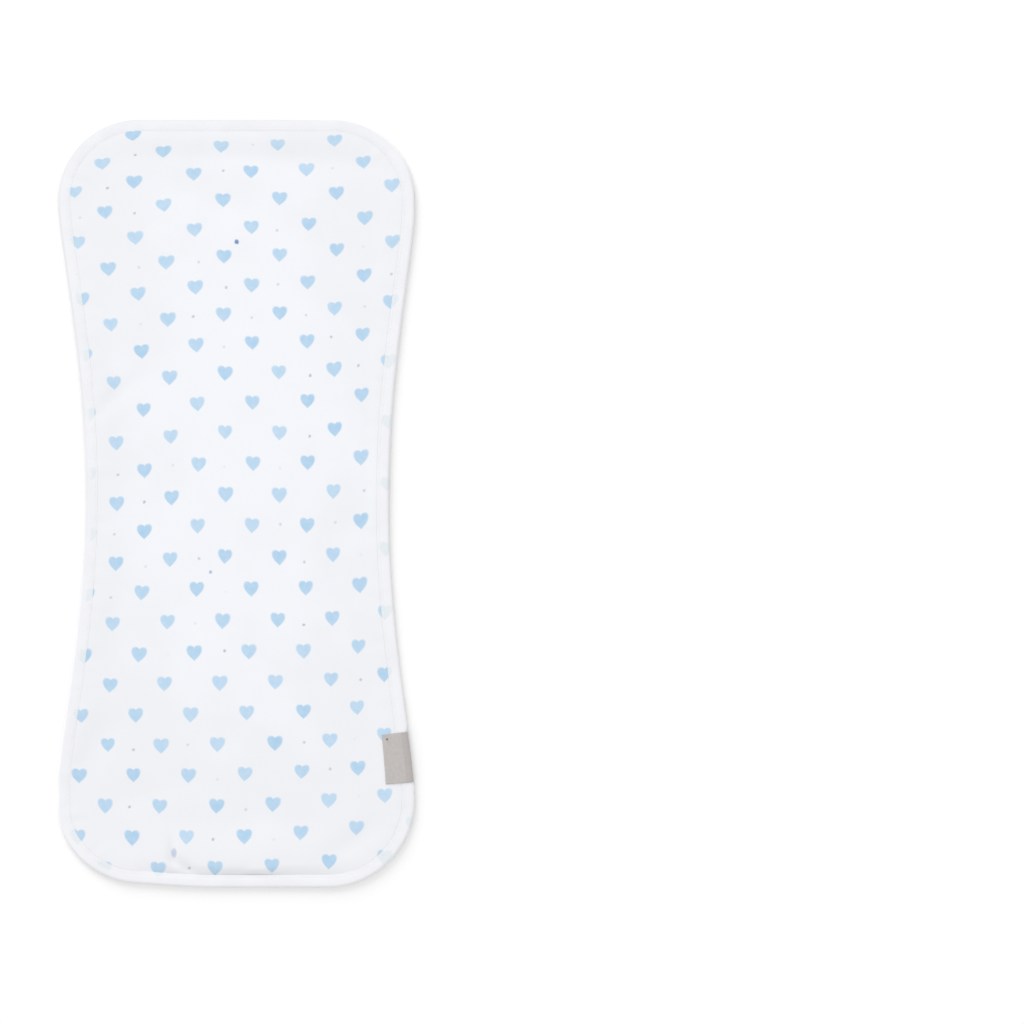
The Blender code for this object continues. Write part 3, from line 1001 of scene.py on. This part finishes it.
# %% Label
LABEL_ON_TOP = 17.0 * MM
LABEL_UNDERNEATH = 7.0 * MM
LABEL_DROP = 0.1 * MM
LABEL_STEP = (SEAM - 2.0 * MM, SEAM + 3.0 * MM)
LABEL_SKEW = (0.7 * MM, 1.6, 2.0)  # size, share at the middle, change of share from end to end
LABEL_ACROSS_STEPS = 60
RIBBON_EDGE = 0.35 * MM
RIBBON_RIM = 0.3
RIM_POINTS = np.array([0.0, 0.08, 0.2]) * MM
FINE_STEPS = (PAD_STEPS[0] * 4, 40)
LABEL_TOP_INSETS = np.array([17.0, 16.9, 16.65, 16.0, 15.0, 14.0, 13.0, 12.0, 11.0, 10.0, 9.3, 8.6, 7.9, 7.2,
                             6.4, 5.4, 4.2, 3.0]) * MM
LABEL_UNDER_INSETS = np.array([3.0, 4.0, 5.0, 6.0, 6.65, 6.9, 7.0]) * MM
LABEL_FOLD_STEPS = 12


def label_level(inset):
    """Level of the ribbon's upper face: over the tape, then stepping down on the pad."""
    drop = LABEL_DROP * smooth_step(inset, *LABEL_STEP)
    return EDGE_HEIGHT + LABEL_GAP + LABEL_THICKNESS - drop


def label_path(radius):
    """One face of the ribbon as (inset, level) pairs: along the top, round the fold, and back underneath."""
    above = label_level(LABEL_TOP_INSETS) - (EDGE_MIDDLE + LABEL_GAP + LABEL_THICKNESS - radius)
    top = np.column_stack([LABEL_TOP_INSETS, above])
    under = np.column_stack([LABEL_UNDER_INSETS, np.full(len(LABEL_UNDER_INSETS), EDGE_MIDDLE - radius)])
    return np.vstack([top, pressed_fold(radius, LABEL_FOLD_STEPS), under])


def pressed(distance):
    """Share of the full thickness at a distance from the ribbon's edge: a quarter circle down to a thin
    rim."""
    share = np.clip(distance / RIBBON_EDGE, 0.0, 1.0)
    return RIBBON_RIM + (1.0 - RIBBON_RIM) * np.sqrt(1.0 - (1.0 - share) ** 2)


def make_label():
    """The ribbon as a thin closed box: an outer and an inner grid, joined round their four sides."""
    fine_edge, fine_inward, fine_along = (values[:FINE_STEPS[0]] for values in outline(*FINE_STEPS))
    middle = np.interp(LABEL_MIDDLE_Y, fine_edge[:, 1], fine_along)
    spread = np.linspace(-0.5, 0.5, LABEL_ACROSS_STEPS + 1) * LABEL_LENGTH
    spread = np.unique(np.concatenate([spread, spread[0] + RIM_POINTS, spread[-1] - RIM_POINTS]))
    wanted = middle + spread
    edge, inward = (between(wanted, fine_along, values) for values in (fine_edge, fine_inward))
    inner_path = label_path(EDGE_MIDDLE + LABEL_GAP)
    outer_path = label_path(EDGE_MIDDLE + LABEL_GAP + LABEL_THICKNESS)
    middle_path = (inner_path + outer_path) / 2.0
    travelled = distances(middle_path)
    path_edge = np.minimum(travelled, travelled[-1] - travelled)
    side_edge = LABEL_LENGTH / 2.0 - np.abs(spread)
    share = pressed(path_edge)[:, None] * pressed(side_edge)[None, :]
    skew = LABEL_SKEW[0] * (LABEL_SKEW[1] - LABEL_SKEW[2] * spread / LABEL_LENGTH)
    faces_of_label = []
    for sign in (1.0, -1.0):
        half = (outer_path - inner_path)[:, None, :] / 2.0 * share[..., None] * sign
        pairs = middle_path[:, None, :] + half
        pairs[..., 0] += np.clip(pairs[..., 0] / LABEL_ON_TOP, 0.0, None) * skew[None, :]
        plan = edge[None] + inward[None] * pairs[..., :1]
        z = pairs[..., 1] + edge_lift(plan[..., 0], plan[..., 1], np.maximum(pairs[..., 0], 0.0))
        faces_of_label.append(np.dstack([plan, z]))
    grid = np.concatenate([faces_of_label[0], faces_of_label[1][::-1]])
    rows, columns = grid.shape[:2]
    half_rows = rows // 2
    row, column = grid_corners(rows, columns - 1)
    faces = [((row % rows) * columns + column)[:, ::-1]]
    across = np.concatenate([travelled, travelled[::-1], travelled[:1]]) / MM
    maps = [np.stack([spread[column] / MM, across[row]], axis=-1)[:, ::-1]]
    k = np.arange(half_rows - 1)
    for side, flip in ((0, False), (columns - 1, True)):
        quads = np.stack([k, k + 1, rows - 2 - k, rows - 1 - k], axis=1)
        place = np.stack([np.full(quads.shape, spread[side] / MM), across[quads]], axis=-1)
        quads = quads * columns + side
        faces.append(quads[:, ::-1] if flip else quads)
        maps.append(place[:, ::-1] if flip else place)
    maps = {"ribbon": np.vstack(maps).reshape(-1, 2)}
    piece = new_piece("woven_label", grid.reshape(-1, 3), np.vstack(faces), maps, [label_material()])
    return piece, travelled[-1]


label, LABEL_WIDTH = make_label()
print("label when unfolded, mm:", round(LABEL_LENGTH / MM), "x", round(LABEL_WIDTH / MM, 1))

# %% [markdown]
# The sewing is a lockstitch: short runs of thread, each diving into the cloth at both ends. A texture could
# draw it, but real thread catches light and lies in its own groove, so each stitch is a small spindle. One
# formula makes all of them at once, on both faces, as one joined mesh.

# %% Topstitching
STITCH_PITCH = 3.1 * MM
STITCH_LENGTH = 2.6 * MM
THREAD_RADIUS = 0.16 * MM
STITCH_RINGS = 7
STITCH_SIDES = 6
STITCH_RISE = 0.04 * MM
STITCH_DIVE = 0.22 * MM
THREAD_TIP = 0.05 * MM
THREAD_TWISTS = 3.0  # turns to the millimetre
THREAD_SHADE = (0.78, 0.79, 0.81, 1.0)
THREAD_WHITE = (0.86, 0.865, 0.88, 1.0)
LOWEST = 0.01 * MM


def thread_material():
    """White sewing thread, a little brighter and smoother than the cotton, with a fine twist whose grooves
    are darkened with painted shade.
    """
    material, shader, _ = cloth_material("sewing_thread", roughness=0.55, sheen=0.1)
    along, around, _ = parts_of(map_place(material, "thread"))
    twist = ((along + around) * (2.0 * np.pi * THREAD_TWISTS)).step("SINE") * 0.5 + 0.5
    # Painted shade in the low grooves of the twist.
    colour = mixed(twist, THREAD_SHADE, THREAD_WHITE)
    finish_cloth(shader, colour, twist, depth=0.04 * MM, strength=0.7)
    return material


def make_stitches():
    """Spindles along the outline: at share t of a stitch, its radius is the thread's times the fourth root
    of 1 minus (2t - 1) to the sixth, and its middle sinks by the dive times |2t - 1| cubed."""
    edge, inward, along = outline(*TAPE_STEPS)
    count = int(round(EDGE_LENGTH / STITCH_PITCH))
    starts = np.arange(count) * EDGE_LENGTH / count
    t = np.linspace(0.0, 1.0, STITCH_RINGS)
    reach = np.abs(2.0 * t - 1.0)
    radius = np.maximum(THREAD_RADIUS * np.maximum(1.0 - reach ** 6, 0.0) ** 0.25, THREAD_TIP)
    place = starts[:, None] + t[None, :] * STITCH_LENGTH
    closed_along = np.append(along, EDGE_LENGTH)
    at_edge, at_inward = (between(place, closed_along, closed(values)) for values in (edge, inward))
    plan = at_edge + at_inward * STITCH_INSET
    x, y = plan[..., 0], plan[..., 1]
    depth = np.full(place.shape, STITCH_INSET)
    lift = edge_lift(x, y, depth)
    sink = STITCH_DIVE * reach ** 3
    top = tape_top_level(STITCH_INSET) + pucker(place, depth) - seam_dip(x, y, depth)
    under = pressed_in(STITCH_INSET)
    angle = np.linspace(0.0, 2.0 * np.pi, STITCH_SIDES + 1)[:-1]
    rods = []
    for middle in (top + STITCH_RISE - sink, under - STITCH_RISE + sink):
        side = radius[None, :, None] * np.cos(angle)[None, None, :]
        up = radius[None, :, None] * np.sin(angle)[None, None, :]
        flat = plan[:, :, None, :] + at_inward[:, :, None, :] * side[..., None]
        z = (middle + lift)[:, :, None] + up
        rods.append(np.concatenate([flat, np.maximum(z, LOWEST)[..., None]], axis=-1))
    rods = np.concatenate(rods)
    many = len(rods)
    row, column = grid_corners(STITCH_RINGS - 1, STITCH_SIDES)
    one = row * STITCH_SIDES + column % STITCH_SIDES
    base = np.arange(many)[:, None, None] * STITCH_RINGS * STITCH_SIDES
    sides = (one[None] + base).reshape(-1, 4)
    caps = []
    for first, order in ((0, (0, 1, 2, 3)), ((STITCH_RINGS - 1) * STITCH_SIDES, (3, 2, 1, 0))):
        for trio in ((0, 1, 2, 3), (0, 3, 4, 5)):
            quad = first + np.array(trio)[list(order)]
            caps.append(quad[None, :] + np.arange(many)[:, None] * STITCH_RINGS * STITCH_SIDES)
    one_map = np.stack([t[row] * STITCH_LENGTH / MM, column / STITCH_SIDES], axis=-1)
    maps = np.broadcast_to(one_map[None], (many,) + one_map.shape).reshape(-1, 2)
    cap_maps = np.zeros((4 * len(caps) * many, 2))
    return new_piece("topstitching", rods.reshape(-1, 3), np.vstack([sides] + caps),
                     {"thread": np.vstack([maps, cap_maps])}, [thread_material()])


stitches = make_stitches()

# %% [markdown]
# The label's upper corner is tacked down by hand with a few turns of dark thread, which show as one small
# knot. A short thread wound into a ball is enough: a tube along a line that goes round a small ellipsoid.

# %% Tack on the label's corner
TACK_SIZE = 0.55 * MM
TACK_TURNS = 4
TACK_THREAD = 0.13 * MM
TACK_STEPS = 72
TACK_SIDES = 6
TACK_INSET = 14.2 * MM
TACK_FROM_END = 3.3 * MM
TACK_RISE = 0.1 * MM
TACK_FLATTENED = 0.6
TACK_POLES = (0.08, 0.84)  # start and span of the slow angle, in half turns
TACK_TAPER = (0.3, 12.0)  # share of the thickness at the tips, and how fast it grows
TACK_BLOTCHES = 2500.0
TACK_DARK = (0.10, 0.10, 0.11, 1.0)
TACK_PALE = (0.22, 0.21, 0.21, 1.0)


def tack_material():
    """Dark grey thread."""
    material, shader, place = cloth_material("tack_thread", roughness=0.7, sheen=0.1)
    plug(mixed(mottle(place, TACK_BLOTCHES), TACK_DARK, TACK_PALE), shader.inputs["Base Color"])
    return material


def make_tack():
    """A tube along a line wound on a flattened ball: the line goes down the cloth as the cosine of a slow
    angle, and turns round the ball several times on the way."""
    wanted = label_along + LABEL_LENGTH / 2.0 - TACK_FROM_END
    right_side = slice(PAD_STEPS[0])
    corner, direction = (between(wanted, pad_along[right_side], values[right_side])
                         for values in (pad_edge, pad_inward))
    middle = corner + direction * TACK_INSET
    surface = EDGE_HEIGHT + LABEL_GAP + LABEL_THICKNESS - LABEL_DROP
    surface += edge_lift(middle[0], middle[1], TACK_INSET)
    t = np.linspace(0.0, 1.0, TACK_STEPS)
    slow = np.pi * (TACK_POLES[0] + TACK_POLES[1] * t)
    fast = 2.0 * np.pi * TACK_TURNS * t
    path = np.stack([middle[0] + TACK_SIZE * np.sin(slow) * np.cos(fast),
                     middle[1] + TACK_SIZE * np.cos(slow),
                     surface + TACK_RISE + TACK_FLATTENED * TACK_SIZE * np.sin(slow) * np.sin(fast)], axis=-1)
    along = np.gradient(path, axis=0)
    along /= np.linalg.norm(along, axis=1)[:, None]
    side = np.cross(along, np.array([0.0, 1.0, 0.0]))
    side /= np.linalg.norm(side, axis=1)[:, None]
    up = np.cross(side, along)
    angle = np.linspace(0.0, 2.0 * np.pi, TACK_SIDES + 1)[:-1]
    width = TACK_THREAD * np.minimum(1.0, TACK_TAPER[0] + TACK_TAPER[1] * np.minimum(t, 1.0 - t))
    tube = path[:, None] + width[:, None, None] * (side[:, None] * np.cos(angle)[None, :, None]
                                                   + up[:, None] * np.sin(angle)[None, :, None])
    row, column = grid_corners(TACK_STEPS - 1, TACK_SIDES)
    faces = row * TACK_SIDES + column % TACK_SIDES
    last = (TACK_STEPS - 1) * TACK_SIDES
    ends = np.array([[0, 1, 2, 3], [0, 3, 4, 5]])
    faces = np.vstack([faces, ends, last + ends[:, ::-1]])
    points = tube.reshape(-1, 3)
    return new_piece("label_tack", points, faces, {"thread": points[:, :2] / MM}, [tack_material()])


tack = make_tack()

# %% [markdown]
# Each piece is joined to the one body, and the solid that it stands for is hidden. The table lists each
# piece with its solid and its finish.

# %% Join each piece to the body and hide its solid
PARTS = (
    (pad, "cloth", "printed_cloth"),
    (binding, "binding", "binding_tape"),
    (stitches, None, "binding_tape"),
    (label, "label", "woven_label"),
    (tack, None, "woven_label"),
)
for piece, node, finish in PARTS:
    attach(piece, "root")
    if node:
        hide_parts(node)
print("pieces that ride on the one body:", len(PARTS))

# %% [markdown]
# The studio is a white table under a large soft light from the top of the picture, a little to the left,
# with plenty of fill from all round. The table is lit until it is pure white, and the cloth stays just
# below that, so its own faint shading can be seen. A thin shadow is left along the lower edge and the right
# edge.

# %% Table, light and camera
TABLE_SIZE = 6.0
TABLE_WHITES = (0.89, 0.90)
TABLE_BLOTCHES = 3.0
TABLE_DEPTH = 0.05 * MM
FILL = 0.9525
KEY_POWER = 549.0
KEY_SIZE = 6.2
KEY_DISTANCE = 9.0
KEY_RISE = np.radians(20.0)
KEY_TURN = np.radians(25.0)
PHOTO_PIXELS = 1024.0
CLOTH_PIXELS = 768.0
CLOTH_MIDDLE_PIXEL = (236.3, 503.0)
CAMERA_HEIGHT = 3.0


def make_table():
    """A wide square, just below the cloth."""
    half = TABLE_SIZE / 2.0
    corners = np.array([(-half, -half), (half, -half), (half, half), (-half, half)])
    mesh = bpy.data.meshes.new("table")
    mesh.from_pydata(np.column_stack([corners, np.full(4, -TABLE_DEPTH)]).tolist(), [], [(0, 1, 2, 3)])
    material, shader, place = cloth_material("table_white", roughness=0.9, sheen=0.0)
    low, high = ((white, white, white, 1.0) for white in TABLE_WHITES)
    plug(mixed(mottle(place, TABLE_BLOTCHES), low, high), shader.inputs["Base Color"])
    shader.inputs["Specular IOR Level"].default_value = 0.0
    mesh.materials.append(material)
    return placed("table", mesh)


def aim(thing, target):
    """Turn a light so that it looks at a target."""
    thing.rotation_euler = (Vector(target) - thing.location).to_track_quat("-Z", "Y").to_euler()


def make_light():
    """One square soft light above the top edge, and white fill from all round."""
    lamp = bpy.data.lights.new("soft_light", "AREA")
    lamp.shape = "SQUARE"
    lamp.size = KEY_SIZE
    lamp.energy = KEY_POWER
    light = placed("soft_light", lamp)
    light.location = KEY_DISTANCE * np.array([-np.cos(KEY_RISE) * np.sin(KEY_TURN),
                                              np.cos(KEY_RISE) * np.cos(KEY_TURN), np.sin(KEY_RISE)])
    aim(light, (0.0, 0.0, 0.0))
    world = bpy.data.worlds.new("white_room")
    world.use_nodes = True
    world.node_tree.nodes["Background"].inputs["Color"].default_value = (1.0, 1.0, 1.0, 1.0)
    world.node_tree.nodes["Background"].inputs["Strength"].default_value = FILL
    bpy.context.scene.world = world


def make_camera():
    """Straight above the middle of the picture, which lies to the right of the cloth."""
    metres_per_pixel = LENGTH / CLOTH_PIXELS
    half_view = metres_per_pixel * PHOTO_PIXELS / 2.0
    camera = placed("camera", bpy.data.cameras.new("camera"))
    camera.data.angle = 2.0 * np.arctan(half_view / CAMERA_HEIGHT)
    camera.location = ((PHOTO_PIXELS / 2.0 - CLOTH_MIDDLE_PIXEL[0]) * metres_per_pixel,
                       (CLOTH_MIDDLE_PIXEL[1] - PHOTO_PIXELS / 2.0) * metres_per_pixel, CAMERA_HEIGHT)
    bpy.context.scene.camera = camera


table = make_table()
make_light()
make_camera()
bpy.context.scene.view_settings.view_transform = "Standard"
